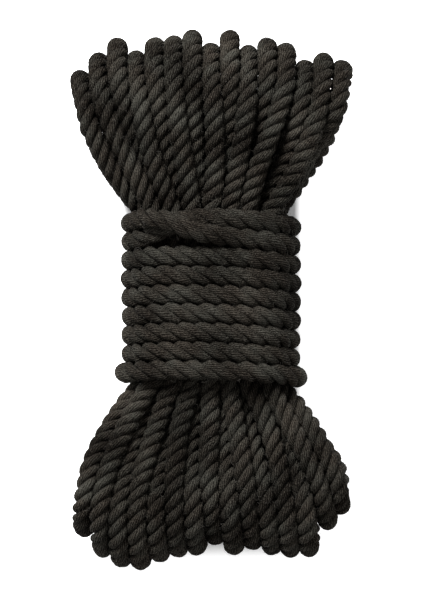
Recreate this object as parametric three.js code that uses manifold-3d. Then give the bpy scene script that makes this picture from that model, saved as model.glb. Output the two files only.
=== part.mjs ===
// A hank of soft three-strand cotton rope, lying on its back on a table.
// Millimetres, +Z up, +Y along the hank, origin under the middle of its box.
//
// The rope is laid to and fro in long turns that stand side by side, and the rest of it is wound
// nine times round their waist. Each long turn goes up the front, folds over, comes down the back
// and folds under. The turns are pressed together at the waist and fan out at both ends.
import * as THREE from "three";
import { mergeVertices } from "three/addons/utils/BufferGeometryUtils.js";
import Module from "manifold-3d";

const wasm = await Module();
wasm.setup();

// Rope
const ropeDiameter = 8;
const gap = 0.3; // left between two solids that touch
const sides = 8; // of a tube's section

// Waist, where the wraps press the turns together
const waistHalfWidth = 28; // of the bundle of turns
const waistHalfDepth = 18.5;
const waistSquareness = 3; // exponent of the waist's section: 2 is an ellipse, more is squarer

// Wraps
const plainWraps = 7; // below the two that cross
const wrapPitch = 7.5; // a tight wrap presses its neighbours a little flatter than a free rope
const wrapSteps = 28; // round one wrap
const firstWrapSwell = 3; // the first wrap lies over the opening fan and stands out
const crossingFrom = 0.38; // where the last two wraps begin to cross, in turns
const crossingPitches = 3.64; // how long they take over it, in pitches
const crossingLift = 1.3; // of the last one, in pitches: over the other, and clear of it aslant
const tuckSpread = 0.6; // how far the last two wraps part from the rest at the back, in pitches

// Long turns
const turnPitch = 7.5; // from one turn to the next at the fan's edge
const foldRadius = 25; // outer radius of a turn where it folds over at the fan's edge
const fanSlices = 10; // along a fan
const foldSlices = 8; // round a fold

// How far the outside of each turn reaches from the middle, from left to right
const upperReach = [92, 99, 105, 100, 105, 106, 108, 103, 108, 102, 105, 103, 96, 99, 96];
const lowerReach = [95, 103, 107, 108, 105, 103, 102, 98, 102, 100, 102, 103, 103, 92, 86];

// Each fan starts at the wraps: the upper one a little past their edge, and the lower one a little
// under it. It is fully open at until, and a higher flare opens it sooner.
const upperFan = { pastWraps: 1.4, until: 90, flare: 1.6 };
const lowerFan = { pastWraps: -3.6, until: 90, flare: 1.75 };

// Ends of the rope, each bound with twine: the first lies under the lower fan, and the last is
// tucked between the wraps at the back.
const whippingLength = 10;
const firstEndAcross = -20; // its place, left of the middle
const firstEndLength = 24; // from the wraps to its tip
const lastEndAround = 0.965; // where the last wrap's whipping begins, in turns

const cotton = { color: 0x2b2926, roughness: 0.95, metalness: 0 };
const twine = { color: 0x1f1d1b, roughness: 0.8, metalness: 0 };

const wrapPressed = wrapPitch - gap; // thickness of a wrap
const waistHeight = waistHalfDepth + gap + wrapPressed; // of the waist's middle above the table
const turnCount = upperReach.length;
const wrapHalfWidth = waistHalfWidth + gap + wrapPressed / 2; // to the middle of its rope
const wrapHalfDepth = waistHalfDepth + gap + wrapPressed / 2;
const waistPitch = (2 * (waistHalfWidth - gap)) / turnCount;
const firstRow = -((plainWraps + 1) / 2) * wrapPitch; // the lowest wrap's place along the hank
const wrapsEdge = wrapPressed / 2 - firstRow; // from the middle to the outer wraps' far side
const backEdge = wrapsEdge + wrapPitch / 2; // the same at the back, where the wraps are climbing
const firstEndFrom = -backEdge - gap;

const rope = new THREE.Group();

function addPiece(name, geometry, look) {
  const piece = new THREE.Mesh(geometry, new THREE.MeshStandardMaterial(look));
  piece.name = name;
  rope.add(piece);
}

// The waist's section is a superellipse: half its depth at a distance x from the middle.
function superHalfDepth(x, halfWidth, halfDepth) {
  const share = Math.min(1, Math.abs(x) / halfWidth);
  return halfDepth * (1 - share ** waistSquareness) ** (1 / waistSquareness);
}

// ---- Long turns ----

function fanStart(fan) {
  return wrapsEdge + fan.pastWraps;
}

// Distance from one turn to the next, at a place y along the hank.
function pitchAt(y) {
  const fan = y > 0 ? upperFan : lowerFan;
  const start = fanStart(fan);
  const opened = THREE.MathUtils.clamp((Math.abs(y) - start) / (fan.until - start), 0, 1);
  return turnPitch - (turnPitch - waistPitch) * (1 - opened) ** fan.flare;
}

function fanSlice(fan) {
  return (fan.until - fanStart(fan)) / fanSlices;
}

// The slices that one end of a turn is lofted through, from the wraps out to its fold, each as
// y and the heights of its underside and top. It leaves the wraps level, and slopes down to rest
// on the table at the fold. waistHalf and foldHalf are half its height at both ends.
function slicesOutTo(reach, fan, waistHalf, foldHalf) {
  const start = fanStart(fan);
  const foldFrom = reach - foldRadius;
  const foldHeight = foldRadius + gap;
  const slices = [];
  for (let i = 0; i <= fanSlices; i++) {
    const y = start + fanSlice(fan) * i;
    if (y > foldFrom - fanSlice(fan) / 2) break;
    const along = Math.max(0, y - backEdge) / (foldFrom - backEdge);
    const middle = THREE.MathUtils.lerp(waistHeight, foldHeight, along);
    const half = THREE.MathUtils.lerp(waistHalf, foldHalf, along);
    slices.push([y, middle - half, middle + half]);
  }
  for (let i = 0; i < foldSlices; i++) {
    const angle = (Math.PI / 2) * (i / foldSlices);
    const half = foldHalf * Math.cos(angle);
    slices.push([foldFrom + foldHalf * Math.sin(angle), foldHeight - half, foldHeight + half]);
  }
  return slices;
}

const mirrored = (slices) => slices.map(([y, ...heights]) => [-y, ...heights]).reverse();

// A block lofted through the slices. across(side, y) gives x, where side is -0.5 on its left face
// and 0.5 on its right face.
function lofted(slices, across) {
  const block = new THREE.BoxGeometry(1, 1, 1, 1, slices.length - 1, 1);
  const points = block.attributes.position;
  for (let i = 0; i < points.count; i++) {
    const [y, bottom, top] = slices[Math.round((points.getY(i) + 0.5) * (slices.length - 1))];
    points.setXYZ(i, across(points.getX(i), y), y, points.getZ(i) > 0 ? top : bottom);
  }
  return block;
}

function toSolid(geometry) {
  const bare = new THREE.BufferGeometry();
  bare.setAttribute("position", geometry.attributes.position);
  bare.setIndex(geometry.index);
  const merged = mergeVertices(bare);
  return new wasm.Manifold(
    new wasm.Mesh({
      numProp: 3,
      vertProperties: merged.attributes.position.array,
      triVerts: new Uint32Array(merged.index.array),
    }),
  );
}

function toGeometry(solid) {
  const mesh = solid.getMesh();
  const geometry = new THREE.BufferGeometry();
  geometry.setAttribute("position", new THREE.BufferAttribute(mesh.vertProperties, 3));
  geometry.setIndex(new THREE.BufferAttribute(mesh.triVerts, 1));
  geometry.computeVertexNormals();
  return geometry;
}

// Whether a lane passes over the rope's first end, which lies on the table under the lower fan.
function overFirstEnd(lane, y) {
  const reach = ropeDiameter / 2 + gap + pitchAt(y) / 2;
  const above = Math.abs(lane * pitchAt(y) - firstEndAcross) < reach;
  return above && y < 0 && y > firstEndFrom - firstEndLength - fanSlice(lowerFan);
}

// A turn is one lane thick, and each of its slices lies in its fanned lane. Its two legs part
// past the wraps, and leave an open loop one rope thick at each end.
function turnGeometry(index) {
  const lane = index - (turnCount - 1) / 2;
  const edge = waistPitch * (Math.abs(lane) + 0.5);
  const halfDepth = superHalfDepth(edge, waistHalfWidth, waistHalfDepth - gap);
  const ends = (waistHalf, foldHalf) => [
    mirrored(slicesOutTo(lowerReach[index], lowerFan, waistHalf, foldHalf)),
    slicesOutTo(upperReach[index], upperFan, waistHalf, foldHalf),
  ];
  const slices = ends(halfDepth, foldRadius).flat();
  for (const slice of slices) {
    if (overFirstEnd(lane, slice[0])) slice[1] = Math.max(slice[1], ropeDiameter + 2 * gap);
  }
  let turn = toSolid(lofted(slices, (side, y) => (lane + side) * pitchAt(y) - side * gap));
  for (const end of ends(0, foldRadius - ropeDiameter)) {
    const open = end.filter(([y, bottom, top]) => top > bottom);
    turn = turn.subtract(toSolid(lofted(open, (side, y) => (lane + 3 * side) * pitchAt(y))));
  }
  return toGeometry(turn);
}

for (let i = 0; i < turnCount; i++) {
  addPiece("turn_" + String(i + 1).padStart(2, "0"), turnGeometry(i), cotton);
}

// ---- Wraps ----

// A point of a wrap, where around is in turns from the middle of the back, going first to the left
// and over the front at 0.5. row counts up from the first wrap, in pitches.
function wrapPoint(around, row, swell = 0, lift = 0) {
  const angle = 2 * Math.PI * around;
  const across = Math.sin(angle);
  const deep = Math.cos(angle);
  const curve = 2 / waistSquareness;
  return new THREE.Vector3(
    -(wrapHalfWidth + swell) * Math.sign(across) * Math.abs(across) ** curve,
    firstRow + row * wrapPitch,
    waistHeight - wrapHalfDepth * Math.sign(deep) * Math.abs(deep) ** curve + lift,
  );
}

// A wrap crosses the front level and climbs one row across the back.
function climb(around) {
  const back = Math.max(0, 0.25 - around) - Math.max(0, around - 0.75);
  return -2 * back;
}

// 0 before the crossing of the last two wraps, 1 after it.
function crossed(around) {
  const turnLength = Math.PI * (wrapHalfWidth + wrapHalfDepth);
  const until = crossingFrom + (crossingPitches * wrapPitch) / turnLength;
  return THREE.MathUtils.smoothstep(around, crossingFrom, until);
}

const plain = (index) => (around) =>
  wrapPoint(around, index + climb(around), index ? 0 : swellAt(around));

function swellAt(around) {
  return firstWrapSwell * THREE.MathUtils.smoothstep(1 - around, 0.02, 0.2);
}

// The last wrap but one climbs to the top row at the front, and stays in it behind.
function topWrap(around) {
  const behind = Math.sin(2 * Math.PI * Math.max(0, around - 0.75));
  const row = plainWraps + Math.min(0, climb(around)) + crossed(around) + tuckSpread * behind;
  return wrapPoint(around, row);
}

// The last wrap comes down from the top row, over the one before, and its end is tucked behind.
function lastWrap(around) {
  const done = crossed(around);
  const before = Math.sin(2 * Math.PI * Math.max(0, 0.25 - around));
  const row = plainWraps + 1 - done + tuckSpread * before + climb(Math.max(0.25, around));
  return wrapPoint(around, row, 0, crossingLift * wrapPitch * 2 * Math.sqrt(done * (1 - done)));
}

function section(diameter) {
  const corners = [];
  for (let i = 0; i < sides; i++) {
    const angle = (2 * Math.PI * (i + 0.5)) / sides;
    corners.push(new THREE.Vector2(Math.cos(angle), Math.sin(angle)).multiplyScalar(diameter / 2));
  }
  return new THREE.Shape(corners);
}

// A tube along part of a wrap, with half the gap to the next one left at each end.
function wrapGeometry(place, from, until) {
  const points = [];
  for (let i = 0; i <= 2 * wrapSteps; i++) {
    points.push(place(THREE.MathUtils.lerp(from, until, i / (2 * wrapSteps))));
  }
  const whole = new THREE.CatmullRomCurve3(points);
  const trim = gap / 2 / whole.getLength();
  const trimmed = [];
  for (let i = 0; i <= wrapSteps; i++) {
    trimmed.push(whole.getPointAt(THREE.MathUtils.lerp(trim, 1 - trim, i / wrapSteps)));
  }
  return new THREE.ExtrudeGeometry(section(wrapPressed), {
    steps: wrapSteps,
    extrudePath: new THREE.CatmullRomCurve3(trimmed),
  });
}

for (let i = 0; i < plainWraps; i++) {
  addPiece("wrap_" + (i + 1), wrapGeometry(plain(i), 0, 1), cotton);
}
addPiece("wrap_8_under", wrapGeometry(topWrap, 0, 1), cotton);
addPiece("wrap_9_over", wrapGeometry(lastWrap, 0, lastEndAround), cotton);

// ---- Ends of the rope ----

// A whipping is a tight binding of twine round the rope's end, with rounded edges, made here
// upright with the rope's cut end inside it.
function whippingGeometry(diameter) {
  const radius = diameter / 2;
  const edge = radius / 4;
  const profile = new THREE.Path();
  profile.moveTo(0, 0);
  profile.lineTo(radius, 0);
  profile.lineTo(radius, whippingLength - edge);
  profile.quadraticCurveTo(radius, whippingLength, radius - edge, whippingLength);
  profile.lineTo(0, whippingLength);
  return new THREE.LatheGeometry(profile.getPoints(3), 2 * sides);
}

function addWhipping(name, diameter, at, heading) {
  const turned = new THREE.Quaternion().setFromUnitVectors(new THREE.Vector3(0, 1, 0), heading);
  const whipping = whippingGeometry(diameter).applyQuaternion(turned);
  addPiece(name, whipping.translate(at.x, at.y, at.z), twine);
}

const firstEndHeight = ropeDiameter / 2 + gap;
const firstEndUntil = firstEndFrom - firstEndLength + whippingLength;
const firstEnd = new THREE.LineCurve3(
  new THREE.Vector3(firstEndAcross, firstEndFrom, firstEndHeight),
  new THREE.Vector3(firstEndAcross, firstEndUntil + gap, firstEndHeight),
);
addPiece(
  "first_end",
  new THREE.ExtrudeGeometry(section(ropeDiameter), { steps: 1, extrudePath: firstEnd }),
  cotton,
);
addWhipping(
  "first_end_whipping",
  ropeDiameter,
  new THREE.Vector3(firstEndAcross, firstEndUntil, firstEndHeight),
  new THREE.Vector3(0, -1, 0),
);

const lastEndAt = lastWrap(lastEndAround);
const lastEndFrom = lastWrap(lastEndAround - 0.01);
const lastEndHeading = lastEndAt.clone().sub(lastEndFrom).setZ(0).normalize();
addWhipping(
  "last_end_whipping",
  wrapPressed,
  lastEndAt.clone().addScaledVector(lastEndHeading, 2 * gap),
  lastEndHeading,
);

export default rope;
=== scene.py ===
import bpy
import numpy as np
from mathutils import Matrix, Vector


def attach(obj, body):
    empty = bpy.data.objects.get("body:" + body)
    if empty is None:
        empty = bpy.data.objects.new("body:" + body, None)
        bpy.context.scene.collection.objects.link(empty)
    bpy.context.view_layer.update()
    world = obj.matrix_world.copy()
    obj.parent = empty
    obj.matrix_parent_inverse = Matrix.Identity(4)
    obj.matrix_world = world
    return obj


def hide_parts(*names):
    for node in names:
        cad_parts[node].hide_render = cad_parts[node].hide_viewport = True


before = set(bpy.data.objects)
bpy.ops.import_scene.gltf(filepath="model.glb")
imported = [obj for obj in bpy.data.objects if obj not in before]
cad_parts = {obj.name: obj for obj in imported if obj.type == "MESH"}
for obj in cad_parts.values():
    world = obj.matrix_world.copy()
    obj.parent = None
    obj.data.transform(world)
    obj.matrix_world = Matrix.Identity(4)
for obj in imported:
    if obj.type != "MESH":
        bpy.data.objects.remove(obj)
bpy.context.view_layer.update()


# ---- Camera ----
# It looks straight down on the hank, with the end where the last wrap is tucked upwards. The lens
# is long, so the hank shows almost no perspective.
CAMERA_HEIGHT = 1.4
MIDDLE_HEIGHT = 0.026  # of the hank
SEEN_LENGTH = 0.2405  # along the long side of the view, at the middle of the hank

camera_data = bpy.data.cameras.new("camera")
camera_data.sensor_fit = "VERTICAL"
camera_data.sensor_height = 24.0
camera_data.lens = camera_data.sensor_height * (CAMERA_HEIGHT - MIDDLE_HEIGHT) / SEEN_LENGTH
camera = bpy.data.objects.new("camera", camera_data)
camera.location = (0.0, 0.0, CAMERA_HEIGHT)
bpy.context.collection.objects.link(camera)
bpy.context.scene.camera = camera


# ---- Rope: how it is laid ----
# One rope, 8 mm thick and a little over 8 m long. It is laid to and fro in fifteen long turns, from
# left to right: each goes up the back, folds over, comes down the front and folds under. The rest
# is wound nine times round their waist, from the lower end up.
ROPE = 0.008
GAP = 0.0003
STEP = ROPE / 2  # between two points of the route
TABLE = ROPE / 2  # height of a rope that lies on it

WAIST_HALF_WIDTH = 0.028
WAIST_HALF_DEPTH = 0.0185
WAIST_SQUARENESS = 3.0
WRAP_PITCH = 0.0075
WRAP_PRESSED = WRAP_PITCH - GAP
WAIST_HEIGHT = WAIST_HALF_DEPTH + GAP + WRAP_PRESSED

# How far each turn reaches from the middle of the hank to either end, in mm, from left to right.
UPPER_REACH = (92, 99, 105, 100, 105, 106, 108, 103, 108, 102, 105, 103, 96, 99, 96)
LOWER_REACH = (95, 103, 107, 108, 105, 103, 102, 98, 102, 100, 102, 103, 103, 92, 86)
TURNS = len(UPPER_REACH)
TURN_PITCH = 0.0075
SHRINK = 0.001  # of a fold as it settles
WAIST_PITCH = 2 * (WAIST_HALF_WIDTH - GAP) / TURNS
UPPER_FAN = (0.035, 0.090, 1.6)  # where it starts and is fully open, and how soon it opens
LOWER_FAN = (0.030, 0.090, 1.75)
FOLD_RADII = (0.0195, 0.021)
FOLD_HEIGHT = TABLE + GAP + FOLD_RADII[1]
FIRST_TURN_STARTS = -0.028  # where the first end goes over into it
LAST_TURN_ENDS = -0.046  # where it goes over into the first wrap
FIRST_TURN_BULGE = 0.45  # to the left of its lane in the upper fan, which leaves a small gap
STRAY = 0.35  # of a front leg from its lane halfway along a fan, in lanes
LEVELS = (0.0042, 0.0115)  # of alternate turns at the waist, from its middle

POINTS_IN_FOLD = 8
FIRST_END = [
    (-0.0200, -0.066, 0.0043),
    (-0.0200, -0.056, 0.0046),
    (-0.0205, -0.048, 0.0078),
    (-0.0215, -0.040, 0.0138),
    (-0.0220, -0.034, 0.0190),
]

uneven = np.random.default_rng(11)


def turn_pitch(y):
    """The distance from one turn to the next at each place y along the hank."""
    start, full, flare = np.where((y > 0)[:, None], UPPER_FAN, LOWER_FAN).T
    opened = np.clip((np.abs(y) - start) / (full - start), 0, 1)
    return TURN_PITCH - (TURN_PITCH - WAIST_PITCH) * (1 - opened) ** flare


def leg(lanes, ys, waist_level, fold_level, stray=0.0):
    """A leg of a turn, from one y to another and one lane to another, without its last point."""
    y = np.linspace(*ys, max(3, int(abs(ys[1] - ys[0]) / STEP)))[:-1]
    lane = np.interp(y, sorted(ys), lanes if ys[0] < ys[1] else lanes[::-1])
    lane = lane + stray * np.sin(np.pi * np.clip(np.abs(y) / UPPER_FAN[1], 0, 1))
    start = UPPER_FAN[0]
    out = np.clip((np.abs(y) - start) / (np.abs(ys).max() - start), 0, 1)
    height = waist_level + (fold_level - waist_level) * out
    return np.stack([lane * turn_pitch(y), y, np.maximum(height, TABLE)], 1)


def fold(lanes, y, radius, way):
    """The round fold at the end of a turn, where way is 1 at the upper end and -1 at the lower."""
    angle = np.linspace(0, np.pi, POINTS_IN_FOLD + 1)[:-1]
    lane = np.interp(angle, (0, np.pi), lanes)
    along = y + way * radius * np.sin(angle)
    height = FOLD_HEIGHT - way * radius * np.cos(angle)
    return np.stack([lane * turn_pitch(along), along, height], 1)


turns = [np.array(FIRST_END)]
for number, (upper_reach, lower_reach) in enumerate(zip(UPPER_REACH, LOWER_REACH)):
    is_first, is_last = number == 0, number == TURNS - 1
    lane = number - (TURNS - 1) / 2
    after = lane if is_last else lane + 1
    between = (lane + after) / 2
    level, next_level = LEVELS[number % 2], LEVELS[(number + 1) % 2]
    upper_radius, lower_radius = uneven.uniform(*FOLD_RADII, 2)
    upper_stray, lower_stray = uneven.normal(0, STRAY, 2)
    bulge = -FIRST_TURN_BULGE if is_first else 0.0
    upper = upper_reach / 1000 + SHRINK - ROPE / 2 - upper_radius
    lower = ROPE / 2 + lower_radius - lower_reach / 1000 - SHRINK
    begin = FIRST_TURN_STARTS if is_first else 0.0
    end = LAST_TURN_ENDS if is_last else 0.0
    front, back = WAIST_HEIGHT + level, WAIST_HEIGHT - level
    front_bulge = bulge if is_first else upper_stray
    turns += [
        leg((lane, lane), (begin, upper), back, FOLD_HEIGHT - upper_radius, bulge),
        fold((lane, lane), upper, upper_radius, 1),
        leg((lane, lane), (upper, 0.0), front, FOLD_HEIGHT + upper_radius, front_bulge),
        leg((lane, lane), (0.0, lower), front, FOLD_HEIGHT + lower_radius, lower_stray),
        fold((lane, between), lower, lower_radius, -1),
        leg((between, after), (lower, end), WAIST_HEIGHT - next_level, FOLD_HEIGHT - lower_radius),
    ]

# Each wrap bows a little across the front and climbs a row across the back. The last two change
# rows at the front, where the last one lies over the one before.
PLAIN_WRAPS = 7
FIRST_ROW = -(PLAIN_WRAPS + 1) / 2 * WRAP_PITCH
POINTS_IN_WRAP = 96
FIRST_WRAP_SWELL = 0.003  # how much wider the first wrap is
FIRST_WRAP_TIGHTENS = (0.02, 0.2)  # in turns before its end
RISING = (0.345, 0.495)  # where the last wrap but one changes rows, in turns
COMING_DOWN = (0.405, 0.525)  # where the last one does, over it
TUCK_SPREAD = 0.6  # how far the last two move apart round the back, in rows
LAST_END = 0.97  # where the rope ends, in turns
ARCH = 0.0024  # of each wrap across the front
TILT = 0.001  # of each wrap, up at the left and down at the right
UNEVEN_SWELL = 0.0004  # how much a wrap may be wider or narrower


def smoothstep(x, low, high):
    t = np.clip((x - low) / (high - low), 0, 1)
    return t * t * (3 - 2 * t)


def wrap(around, row, swell=0.0, lift=0.0):
    """Points of a wrap. around is in turns from the middle of the back, to the left at first."""
    across, deep = np.sin(2 * np.pi * around), np.cos(2 * np.pi * around)
    curve = 2 / WAIST_SQUARENESS
    half_width = WAIST_HALF_WIDTH + GAP + WRAP_PRESSED / 2 + swell
    half_depth = WAIST_HALF_DEPTH + GAP + WRAP_PRESSED / 2
    x = -half_width * np.sign(across) * np.abs(across) ** curve
    z = WAIST_HEIGHT - half_depth * np.sign(deep) * np.abs(deep) ** curve + lift
    y = FIRST_ROW + row * WRAP_PITCH + ARCH * np.maximum(0, -deep) ** 2 - TILT * x / half_width
    return np.stack([x, y, z], 1)


def climb(around):
    """How far a wrap has climbed across the back, in rows."""
    return -2 * (np.maximum(0, 0.25 - around) - np.maximum(0, around - 0.75))


def spread(around):
    """How far the last two wraps are apart round the back, in rows."""
    away = np.maximum(0, around - 0.75) + np.maximum(0, 0.25 - around)
    return TUCK_SPREAD * np.sin(2 * np.pi * away)


around = np.arange(POINTS_IN_WRAP) / POINTS_IN_WRAP
crossed = smoothstep(around, *RISING)
first_swell = FIRST_WRAP_SWELL * smoothstep(1 - around, *FIRST_WRAP_TIGHTENS)
wraps = [wrap(around, climb(around), first_swell)]
for row in range(1, PLAIN_WRAPS):
    slack = uneven.uniform(-UNEVEN_SWELL, UNEVEN_SWELL, 2)
    swell = np.sin(np.pi * around) * np.interp(around, (0, 1), slack)
    wraps.append(wrap(around, row + climb(around), swell))
top_row = PLAIN_WRAPS + np.minimum(0, climb(around)) + crossed
wraps.append(wrap(around, top_row + spread(around) * (around > 0.75)))
around = around[around < LAST_END]
crossed = smoothstep(around, *COMING_DOWN)
last_row = PLAIN_WRAPS + 1 - crossed + spread(around) * (around < 0.25)
last_row += climb(np.maximum(0.25, around))
rows_apart = 1 - crossed - smoothstep(around, *RISING)
wraps.append(wrap(around, last_row, 0.0, WRAP_PITCH * np.sqrt(1 - rows_apart**2)))


def spaced(points, step):
    """The same line with its points one step apart."""
    along = np.r_[0, np.cumsum(np.linalg.norm(np.diff(points, axis=0), axis=1))]
    at = np.linspace(0, along[-1], round(along[-1] / step) + 1)
    return np.stack([np.interp(at, along, points[:, axis]) for axis in range(3)], 1)


turns = spaced(np.concatenate(turns + [wraps[0][:1]]), STEP)[:-1]
wraps = spaced(np.concatenate(wraps), STEP)
laid = np.concatenate([turns, wraps])
is_wrap = np.arange(len(laid)) >= len(turns)


# ---- Rope: how it settles ----
# The laid rope settles as soft rope does. It keeps its length, stays a rope's thickness from
# itself, resists tight bends, sinks under its weight, and is held in at the waist by the wraps.
ROUNDS = 500
ROUNDS_WITH_PAIRS = 8  # before the touching pairs are looked for again
PRESSED = 0.92  # how thick the rope is where it is pressed, of its free thickness
PUSH = 1.4  # how far a pressed point moves, of what would just free it
SINK = 0.00001  # in each round
WAIST_GIVE = 0.0008  # how far the turns press into the wraps
WAIST_HALF_LENGTH = ROPE / 2 - FIRST_ROW
STIFFNESS = np.where(is_wrap, 0.25, 0.12)[:, None]
HOLD = np.where(is_wrap, 0.06, 0.02)[:, None] * (1, 1, 0.6)  # how well the laid shape keeps
CELL = 1.3 * ROPE  # of the grid in which close points are found
MOST_CELLS = 512  # along each axis
ALONG_ROPE = 4  # points this near along the rope don't push each other
NEIGHBOURS = [(x, y, z) for x in (-1, 0, 1) for y in (-1, 0, 1) for z in (-1, 0, 1)]


def close_pairs(line):
    """Pairs of points under a cell apart that aren't near each other along the rope."""
    key = np.floor((line - line.min(0)) / CELL).astype(int) + 1
    cell = (key[:, 0] * MOST_CELLS + key[:, 1]) * MOST_CELLS + key[:, 2]
    order = np.argsort(cell, kind="stable")
    found = []
    for x, y, z in NEIGHBOURS:
        other = cell + (x * MOST_CELLS + y) * MOST_CELLS + z
        low, high = (np.searchsorted(cell[order], other, side) for side in ("left", "right"))
        for place in range(int((high - low).max())):
            has = np.nonzero(low + place < high)[0]
            mate = order[low[has] + place]
            found.append(np.stack([has, mate], 1)[mate - has > ALONG_ROPE])
    found = np.concatenate(found)
    apart = np.linalg.norm(line[found[:, 0]] - line[found[:, 1]], axis=1)
    return found[apart < CELL].T


def keep_length(line, rest):
    """Pulls or pushes each link of the line back to its length, every other link at a time."""
    for first in (0, 1, 0, 1):
        a = np.arange(first, len(line) - 1, 2)
        link = line[a + 1] - line[a]
        long = np.linalg.norm(link, axis=1)
        move = (0.5 * (long - rest[a]) / long)[:, None] * link
        line[a] += move
        line[a + 1] -= move


def push_apart(line, pairs):
    """Moves points apart that are nearer to each other than the pressed rope is thick."""
    between = line[pairs[1]] - line[pairs[0]]
    long = np.linalg.norm(between, axis=1)
    near = long < PRESSED * ROPE
    a, b = pairs[:, near]
    push = (0.5 * (PRESSED * ROPE / long[near] - 1))[:, None] * between[near]
    count = np.bincount(np.r_[a, b], minlength=len(line))
    for axis in range(3):
        total = np.bincount(np.r_[a, b], np.r_[-push[:, axis], push[:, axis]], len(line))
        line[:, axis] += PUSH * total / np.maximum(count, 1)


def hold_waist(line):
    """Moves the turns back inside the ring that the wraps make."""
    half = np.array([WAIST_HALF_WIDTH, WAIST_HALF_DEPTH]) + WAIST_GIVE - ROPE / 2
    middle = np.array([0, WAIST_HEIGHT])
    section = (line[:, ::2] - middle) / half
    size = (np.abs(section) ** WAIST_SQUARENESS).sum(1) ** (1 / WAIST_SQUARENESS)
    held = ~is_wrap & (np.abs(line[:, 1]) < WAIST_HALF_LENGTH) & (size > 1)
    line[held, ::2] = middle + section[held] / size[held, None] * half


line = laid.copy()
rest = np.linalg.norm(np.diff(line, axis=0), axis=1)
for settled in range(ROUNDS):
    if settled % ROUNDS_WITH_PAIRS == 0:
        pairs = close_pairs(line)
    line[:, 2] -= SINK
    line[1:-1] += STIFFNESS[1:-1] * ((line[:-2] + line[2:]) / 2 - line[1:-1])
    line += HOLD * (laid - line)
    keep_length(line, rest)
    push_apart(line, pairs)
    push_apart(line, pairs)
    hold_waist(line)
    line[:, 2] = np.maximum(line[:, 2], TABLE)
LENGTH = float(np.linalg.norm(np.diff(line, axis=0), axis=1).sum())


# ---- Rope: three strands ----
# Three plump strands of cotton yarn laid together right-handed. A full twist takes two
# thicknesses of rope where it is slack, and more where it is pulled tight round the waist. The
# yarns of a strand turn the other way, so they run nearly along the rope.
SLACK_LAY = 2.0 * ROPE
TIGHT_LAY = 2.6 * ROPE
SLACK_GIRTH = 1.06  # a strand's thickness where the rope is slack, against the sizes below
TIGHT_GIRTH = 1.03
UNEVEN_GIRTH = 0.05  # how much it varies
GIRTH_EVERY = 0.012  # metres of rope from one random girth to the next
WANDER_EVERY = 0.05  # and from one random change of the twist to the next
WANDER = 0.12  # radians
STRAND_CENTRE = 0.0021  # from the rope's middle to the middle of a strand
STRAND_HEIGHT = 0.00195  # half a strand's thickness outwards
STRAND_WIDTH = 0.0022  # half of its thickness sideways, cut straight across the rope
RING = 0.00115  # between two rings of a strand's mesh
SIDES = 12
YARNS = 14  # seen round a strand
YARN_TWIST = 87.0  # turns of a yarn round its strand in a metre of rope
COTTON_DARK = (0.0030, 0.0024, 0.0018)
COTTON_LIGHT = (0.096, 0.088, 0.075)


def smooth_line(points, step):
    """A smooth curve through the points, with its own points one step apart."""
    before = np.r_[2 * points[:1] - points[1:2], points, 2 * points[-1:] - points[-2:-1]]
    a, b, c, d = before[:-3], before[1:-2], before[2:-1], before[3:]
    t = np.linspace(0, 1, 9)[:-1, None, None]
    curve = 0.5 * (
        2 * b + (c - a) * t + (2 * a - 5 * b + 4 * c - d) * t**2 + (3 * b - a - 3 * c + d) * t**3
    )
    return spaced(np.r_[curve.transpose(1, 0, 2).reshape(-1, 3), points[-1:]], step)


def frames_along(points):
    """Two directions across the line at each point, carried along it without twisting."""
    ahead = np.gradient(points, axis=0)
    ahead /= np.linalg.norm(ahead, axis=1)[:, None]
    side = np.zeros_like(points)
    current = np.cross(ahead[0], (0, 0, 1.0))
    for i, direction in enumerate(ahead):
        current = current - direction * current.dot(direction)
        current = current / np.linalg.norm(current)
        side[i] = current
    return side, np.cross(ahead, side)


def tube_mesh(name, rings, v=None):
    """A closed tube through rings of points, with a UV map: round it and along it in metres."""
    count, sides = rings.shape[:2]
    v = np.arange(count) * RING if v is None else v
    first_middle, last_middle = count * sides, count * sides + 1
    vertices = np.r_[rings.reshape(-1, 3), rings[0].mean(0)[None], rings[-1].mean(0)[None]]
    ring, place = (each.ravel() for each in np.mgrid[: count - 1, :sides])
    after = (place + 1) % sides
    corner, beyond = ring * sides, (ring + 1) * sides
    quads = np.stack([corner + place, corner + after, beyond + after, beyond + place], 1)
    across = np.stack([place, place + 1, place + 1, place], 1) / sides
    along = v[np.stack([ring, ring, ring + 1, ring + 1], 1)]
    quad_uv = np.stack([across, along], 2).reshape(-1, 2)

    place, after = place[:sides], after[:sides]
    last_ring = (count - 1) * sides
    caps = np.r_[
        np.stack([after, place, np.full(sides, first_middle)], 1),
        np.stack([last_ring + place, last_ring + after, np.full(sides, last_middle)], 1),
    ]
    cap_uv = np.stack([np.zeros(6 * sides), np.repeat([v[0], v[-1]], 3 * sides)], 1)

    mesh = bpy.data.meshes.new(name)
    mesh.vertices.add(len(vertices))
    mesh.vertices.foreach_set("co", vertices.ravel())
    corners = np.r_[quads.ravel(), caps.ravel()]
    mesh.loops.add(len(corners))
    mesh.loops.foreach_set("vertex_index", corners)
    sizes = np.r_[np.full(len(quads), 4), np.full(len(caps), 3)]
    mesh.polygons.add(len(sizes))
    mesh.polygons.foreach_set("loop_start", np.r_[0, np.cumsum(sizes)[:-1]])
    mesh.uv_layers.new(name="UVMap").data.foreach_set("uv", np.r_[quad_uv, cap_uv].ravel())
    mesh.polygons.foreach_set("use_smooth", np.ones(len(sizes), bool))
    mesh.update(calc_edges=True)
    mesh.validate()
    piece = bpy.data.objects.new(name, mesh)
    bpy.context.collection.objects.link(piece)
    return piece


centre = smooth_line(line, RING)
side, up = frames_along(centre)
along = np.arange(len(centre)) * RING
tight = np.interp(along, np.linspace(0, along[-1], len(is_wrap)), is_wrap)
twists = np.cumsum(RING / (SLACK_LAY + (TIGHT_LAY - SLACK_LAY) * tight))


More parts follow.
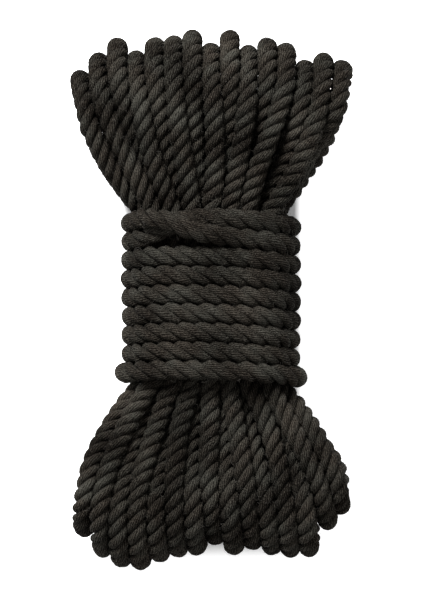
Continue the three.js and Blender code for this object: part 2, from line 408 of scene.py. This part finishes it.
def drawn_along(every, spread, add_up=False):
    """A random value at even distances along the rope, or the sum of them up to there."""
    places = np.arange(0, LENGTH + every, every)
    values = uneven.normal(0, spread, len(places))
    return np.interp(along, places, np.cumsum(values) if add_up else values)


wander = drawn_along(WANDER_EVERY, WANDER, add_up=True)
theta = 2 * np.pi * np.arange(SIDES) / SIDES + np.pi
strands = []
for number in range(3):
    phase = 2 * np.pi * (twists + number / 3) + wander
    girth = SLACK_GIRTH + (TIGHT_GIRTH - SLACK_GIRTH) * tight
    plump = girth + UNEVEN_GIRTH * drawn_along(GIRTH_EVERY, 1)
    outwards = np.cos(phase)[:, None] * side + np.sin(phase)[:, None] * up
    sideways = -np.sin(phase)[:, None] * side + np.cos(phase)[:, None] * up
    out = STRAND_CENTRE + plump[:, None] * STRAND_HEIGHT * np.cos(theta)
    aside = plump[:, None] * STRAND_WIDTH * np.sin(theta)
    rings = (
        centre[:, None]
        + out[:, :, None] * outwards[:, None]
        + aside[:, :, None] * sideways[:, None]
    )
    strands.append(tube_mesh(f"strand_{number + 1}", rings))


def yarn_material(name, dark, light, yarns, twist):
    """Matt cotton yarn: so many yarns round a piece, each with twist turns round it in a metre."""
    material = bpy.data.materials.new(name)
    material.use_nodes = True
    nodes, links = material.node_tree.nodes, material.node_tree.links
    shader = nodes["Principled BSDF"]
    shader.inputs["Roughness"].default_value = 0.95
    shader.inputs["Specular IOR Level"].default_value = 0.05

    def math(operation, *values):
        node = nodes.new("ShaderNodeMath")
        node.operation = operation
        for socket, value in zip(node.inputs, values):
            if isinstance(value, (int, float)):
                socket.default_value = value
            else:
                links.new(value, socket)
        return node.outputs[0]

    uv = nodes.new("ShaderNodeUVMap")
    uv.uv_map = "UVMap"
    split = nodes.new("ShaderNodeSeparateXYZ")
    links.new(uv.outputs["UV"], split.inputs[0])
    around, along = split.outputs["X"], split.outputs["Y"]
    twisted = math("MULTIPLY_ADD", along, twist, around)
    place = nodes.new("ShaderNodeTexCoord").outputs["Object"]

    def noise(scale, detail, vector=None, stretch=None, seed=0.0):
        """Noise in the object's space, or stretched along the yarns: stretch is round and along."""
        texture = nodes.new("ShaderNodeTexNoise")
        texture.inputs["Scale"].default_value = scale
        texture.inputs["Detail"].default_value = detail
        if stretch:
            vector = nodes.new("ShaderNodeCombineXYZ")
            links.new(math("MULTIPLY", twisted, stretch[0]), vector.inputs["X"])
            links.new(math("MULTIPLY", along, stretch[1]), vector.inputs["Y"])
            vector.inputs["Z"].default_value = seed
            vector = vector.outputs[0]
        links.new(vector, texture.inputs["Vector"])
        return texture.outputs["Fac"]

    def ramp(value, *stops):
        """A colour that goes from one stop to the next, where a stop is a place and a colour."""
        made = nodes.new("ShaderNodeValToRGB")
        for element, (position, color) in zip(made.color_ramp.elements, stops):
            element.position = position
            element.color = (*color, 1)
        links.new(value, made.inputs["Fac"])
        return made.outputs["Color"]

    # Each yarn is a ridge that strays a little, with fibres along it and fluff all over.
    slack = math("MULTIPLY", math("SUBTRACT", noise(1, 2, stretch=(6, 250), seed=3.0), 0.5), 1.6)
    turned = math("MULTIPLY_ADD", twisted, yarns, slack)
    ridge = math("SINE", math("MULTIPLY", turned, 2 * np.pi))
    fibres = noise(1, 4, stretch=(90, 1100), seed=7.0)
    fluff = noise(2600, 5, vector=place)
    worn = noise(45, 3, vector=place)

    bump = nodes.new("ShaderNodeBump")
    bump.inputs["Strength"].default_value = 1.0
    bump.inputs["Distance"].default_value = 0.00022
    height = math("MULTIPLY_ADD", fluff, 1.6, math("MULTIPLY", ridge, 0.8))
    links.new(math("MULTIPLY_ADD", fibres, 2.0, height), bump.inputs["Height"])
    links.new(bump.outputs["Normal"], shader.inputs["Normal"])

    # Fibres and fluff make the cotton lighter, in patches, and some patches are a little browner.
    # The ridge term paints each yarn's crest lighter and the groove between yarns darker: painted
    # highlight and painted shade.
    tone = math("MULTIPLY_ADD", ridge, 0.05, math("MULTIPLY", math("ADD", fibres, fluff), 0.5))
    tone = math("MULTIPLY_ADD", math("SUBTRACT", worn, 0.5), 0.35, tone)
    colour = ramp(tone, (0.45, dark), (0.71, light))
    tint = ramp(noise(90, 2, vector=place), (0.35, (1.0, 0.93, 0.87)), (0.65, (0.93, 0.98, 0.96)))

    hue = nodes.new("ShaderNodeMix")
    hue.data_type = "RGBA"
    hue.blend_type = "MULTIPLY"
    hue.inputs["Factor"].default_value = 1.0
    links.new(colour, hue.inputs["A"])
    links.new(tint, hue.inputs["B"])
    links.new(hue.outputs["Result"], shader.inputs["Base Color"])
    return material


cotton = yarn_material("black_cotton", COTTON_DARK, COTTON_LIGHT, YARNS, YARN_TWIST)
for strand in strands:
    strand.data.materials.append(cotton)
    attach(strand, "root")


# ---- Whippings ----
# Each end of the rope is bound with a dozen tight turns of thin waxed black twine, so that its
# strands don't come apart.
TWINE = 0.0008
TWINE_SUNK = 0.15 * TWINE  # into the rope
TWINE_SIDES = 8
TWINE_YARNS = 6
TWINE_TWIST = 900.0
TWINE_DARK = (0.004, 0.0037, 0.0034)
TWINE_LIGHT = (0.03, 0.028, 0.026)
WHIPPING = 0.010
WHIPPING_RINGS = 20  # in one turn of the twine

twine_material = yarn_material("black_twine", TWINE_DARK, TWINE_LIGHT, TWINE_YARNS, TWINE_TWIST)


def whipping(name, backwards):
    """Twine wound round one end of the rope, seen from its tip inwards."""
    middle, across, over = (each[::-1] if backwards else each for each in (centre, side, up))
    turns = round(WHIPPING / TWINE)
    t = np.arange(turns * WHIPPING_RINGS + 1) / WHIPPING_RINGS
    inwards = (t + 0.5) * TWINE / RING
    angle = 2 * np.pi * t
    radius = ROPE / 2 + TWINE / 2 - TWINE_SUNK
    index = np.arange(len(middle))
    core, u, w = (
        np.stack([np.interp(inwards, index, each[:, axis]) for axis in range(3)], 1)
        for each in (middle, across, over)
    )
    out = np.cos(angle)[:, None] * u + np.sin(angle)[:, None] * w
    wound = core + radius * out
    ahead = np.gradient(wound, axis=0)
    ahead /= np.linalg.norm(ahead, axis=1)[:, None]
    beside = np.cross(ahead, out)
    theta = 2 * np.pi * np.arange(TWINE_SIDES) / TWINE_SIDES
    rings = wound[:, None] + TWINE / 2 * (
        np.cos(theta)[None, :, None] * out[:, None] + np.sin(theta)[None, :, None] * beside[:, None]
    )
    steps = np.r_[0, np.cumsum(np.linalg.norm(np.diff(wound, axis=0), axis=1))]
    piece = tube_mesh(name, rings, v=steps)
    piece.data.materials.append(twine_material)
    return piece


whippings = [whipping("first_end_twine", False), whipping("last_end_twine", True)]
for piece, node_name in zip(whippings, ("first_end_whipping", "last_end_whipping")):
    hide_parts(node_name)
    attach(piece, "root")


# ---- Fuzz ----
# Short fine cotton fibres stand out of the strands all over, each bent and leaning its own way.
# There are none on the very underside, where the hank lies on the table.
FIBRES_PER_STRAND = 6500
FIBRE_LENGTH = 0.0016
FIBRE_LENGTHS = (0.3, 1.9)  # shortest and longest, of that length
FIBRE_LEAN = (1.3, 1.3, 3.14)  # radians, either way
FIBRE_RADIUS = 0.000026
FIBRE_COLOUR = (0.082, 0.076, 0.067, 1)
BARE_BELOW = 2 * FIBRE_LENGTH


def fuzz_nodes():
    """Bent fibres scattered over the strand that comes in."""
    tree = bpy.data.node_groups.new("fuzz", "GeometryNodeTree")
    inputs = {
        "Geometry": "Geometry",
        "Density": "Float",
        "Length": "Float",
        "Radius": "Float",
        "Seed": "Int",
        "Material": "Material",
    }
    for label, kind in inputs.items():
        tree.interface.new_socket(label, in_out="INPUT", socket_type=f"NodeSocket{kind}")
    tree.interface.new_socket("Geometry", in_out="OUTPUT", socket_type="NodeSocketGeometry")

    def node(kind, links=(), **settings):
        made = tree.nodes.new(kind)
        for key, value in settings.items():
            if hasattr(made, key):
                setattr(made, key, value)
        for socket, source in dict(links).items():
            if hasattr(source, "is_output"):
                tree.links.new(source, made.inputs[socket])
            else:
                made.inputs[socket].default_value = source
        return made

    given = node("NodeGroupInput")
    scattered = node("GeometryNodeDistributePointsOnFaces", {
        "Mesh": given.outputs["Geometry"],
        "Density": given.outputs["Density"],
        "Seed": given.outputs["Seed"],
    })
    place = node("GeometryNodeInputPosition")
    axes = node("ShaderNodeSeparateXYZ", {"Vector": place.outputs["Position"]})
    low = node("FunctionNodeCompare", {0: axes.outputs["Z"], 1: BARE_BELOW}, operation="LESS_THAN")
    clear = node("GeometryNodeDeleteGeometry", {
        "Geometry": scattered.outputs["Points"],
        "Selection": low.outputs["Result"],
    })
    size = node("ShaderNodeCombineXYZ", {"Z": given.outputs["Length"]})
    bend = node("ShaderNodeCombineXYZ", {"X": given.outputs["Length"]})
    fibre = node("GeometryNodeCurveQuadraticBezier", {
        "Resolution": 3,
        "Start": (0, 0, 0),
        "Middle": size.outputs[0],
        "End": bend.outputs[0],
    })
    lean = node("FunctionNodeRandomValue", {
        0: tuple(-angle for angle in FIBRE_LEAN),
        1: FIBRE_LEAN,
        "Seed": given.outputs["Seed"],
    }, data_type="FLOAT_VECTOR")
    turned = node("FunctionNodeRotateRotation", {
        "Rotation": scattered.outputs["Rotation"],
        "Rotate By": lean.outputs["Value"],
    }, rotation_space="LOCAL")
    scale = node("FunctionNodeRandomValue", {
        2: FIBRE_LENGTHS[0],
        3: FIBRE_LENGTHS[1],
        "Seed": given.outputs["Seed"],
    }, data_type="FLOAT")
    placed = node("GeometryNodeInstanceOnPoints", {
        "Points": clear.outputs["Geometry"],
        "Instance": fibre.outputs["Curve"],
        "Rotation": turned.outputs["Rotation"],
    })
    tree.links.new(scale.outputs[1], placed.inputs["Scale"])
    real = node("GeometryNodeRealizeInstances", {"Geometry": placed.outputs["Instances"]})
    profile = node("GeometryNodeCurvePrimitiveCircle", {
        "Resolution": 3,
        "Radius": given.outputs["Radius"],
    })
    thick = node("GeometryNodeCurveToMesh", {
        "Curve": real.outputs["Geometry"],
        "Profile Curve": profile.outputs["Curve"],
        "Fill Caps": True,
    })
    coloured = node("GeometryNodeSetMaterial", {
        "Geometry": thick.outputs["Mesh"],
        "Material": given.outputs["Material"],
    })
    node("NodeGroupOutput", {"Geometry": coloured.outputs["Geometry"]})
    return tree


fibre_material = bpy.data.materials.new("cotton_fibre")
fibre_material.use_nodes = True
fibre_shader = fibre_material.node_tree.nodes["Principled BSDF"]
fibre_shader.inputs["Base Color"].default_value = FIBRE_COLOUR
fibre_shader.inputs["Roughness"].default_value = 0.8
fibre_shader.inputs["Specular IOR Level"].default_value = 0.2

fuzz_tree = fuzz_nodes()
sockets = {
    item.name: item.identifier
    for item in fuzz_tree.interface.items_tree
    if item.in_out == "INPUT"
}
for number, strand in enumerate(strands):
    area = sum(face.area for face in strand.data.polygons)
    maker = bpy.data.objects.new(f"fuzz_maker_{number + 1}", strand.data.copy())
    bpy.context.collection.objects.link(maker)
    modifier = maker.modifiers.new("fuzz", "NODES")
    modifier.node_group = fuzz_tree
    modifier[sockets["Density"]] = FIBRES_PER_STRAND / area
    modifier[sockets["Length"]] = FIBRE_LENGTH
    modifier[sockets["Radius"]] = FIBRE_RADIUS
    modifier[sockets["Seed"]] = number
    modifier[sockets["Material"]] = fibre_material
    seen = maker.evaluated_get(bpy.context.evaluated_depsgraph_get())
    mesh = bpy.data.meshes.new_from_object(seen)
    bpy.data.objects.remove(maker)
    fibres = bpy.data.objects.new(f"fuzz_{number + 1}", mesh)
    bpy.context.collection.objects.link(fibres)
    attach(fibres, "root")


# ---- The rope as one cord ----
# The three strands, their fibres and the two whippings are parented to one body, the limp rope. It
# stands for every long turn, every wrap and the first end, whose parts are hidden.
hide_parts(*(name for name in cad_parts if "whipping" not in name))


# ---- Table and light ----
# A plain white table, a large soft light high at the upper left, and a weaker one at the right.
# The table glows a little round the hank, painted light that washes out the hank's shadow and makes
# the table evenly white. It does not glow under the hank.
table_mesh = bpy.data.meshes.new("table")
table_mesh.from_pydata([(-3, -3, 0), (3, -3, 0), (3, 3, 0), (-3, 3, 0)], [], [(0, 1, 2, 3)])
table = bpy.data.objects.new("table", table_mesh)
bpy.context.collection.objects.link(table)
white = bpy.data.materials.new("white_table")
white.use_nodes = True
white_shader = white.node_tree.nodes["Principled BSDF"]
white_shader.inputs["Base Color"].default_value = (0.9, 0.9, 0.9, 1)
white_shader.inputs["Roughness"].default_value = 0.9
white_shader.inputs["Emission Color"].default_value = (1, 1, 1, 1)
ROOM_LIGHT = 0.42
# Painted light: the table's glow round the hank washes out the hank's cast shadow. The patch under
# the hank gets none of it.
TABLE_PAINTED_GLOW = 0.85
SHADED = (0.034, 0.098)  # half the width and length of the patch that the hank keeps dark
SHADED_EDGE = 1.08  # where the full glow begins, of that patch
white_nodes, white_links = white.node_tree.nodes, white.node_tree.links
scaled = white_nodes.new("ShaderNodeVectorMath")
scaled.operation = "DIVIDE"
scaled.inputs[1].default_value = (*SHADED, 1.0)
white_links.new(white_nodes.new("ShaderNodeTexCoord").outputs["Object"], scaled.inputs[0])
size = white_nodes.new("ShaderNodeVectorMath")
size.operation = "ABSOLUTE"
white_links.new(scaled.outputs[0], size.inputs[0])
axes = white_nodes.new("ShaderNodeSeparateXYZ")
white_links.new(size.outputs[0], axes.inputs[0])
furthest = white_nodes.new("ShaderNodeMath")
furthest.operation = "MAXIMUM"
white_links.new(axes.outputs["X"], furthest.inputs[0])
white_links.new(axes.outputs["Y"], furthest.inputs[1])
# Painted glow: none in the patch under the hank, and full glow round it.
glow = white_nodes.new("ShaderNodeMapRange")
glow.inputs["From Min"].default_value = 1.0
glow.inputs["From Max"].default_value = SHADED_EDGE
glow.inputs["To Max"].default_value = TABLE_PAINTED_GLOW
white_links.new(furthest.outputs[0], glow.inputs["Value"])
white_links.new(glow.outputs["Result"], white_shader.inputs["Emission Strength"])
table_mesh.materials.append(white)


def soft_light(name, place, size, watts):
    """A square light that faces the middle of the table."""
    light = bpy.data.lights.new(name, "AREA")
    light.size = size
    light.energy = watts
    lamp = bpy.data.objects.new(name, light)
    lamp.location = place
    lamp.rotation_euler = (-Vector(place)).to_track_quat("-Z", "Y").to_euler()
    bpy.context.collection.objects.link(lamp)


soft_light("key_light", place=(-0.45, 0.9, 1.0), size=0.45, watts=44)
soft_light("fill_light", place=(0.9, -0.3, 1.0), size=1.0, watts=3)
world = bpy.data.worlds.new("studio")
world.use_nodes = True
world.node_tree.nodes["Background"].inputs["Strength"].default_value = ROOM_LIGHT
world.node_tree.nodes["Background"].inputs["Color"].default_value = (1, 1, 1, 1)
bpy.context.scene.world = world
bpy.context.scene.view_settings.view_transform = "Standard"
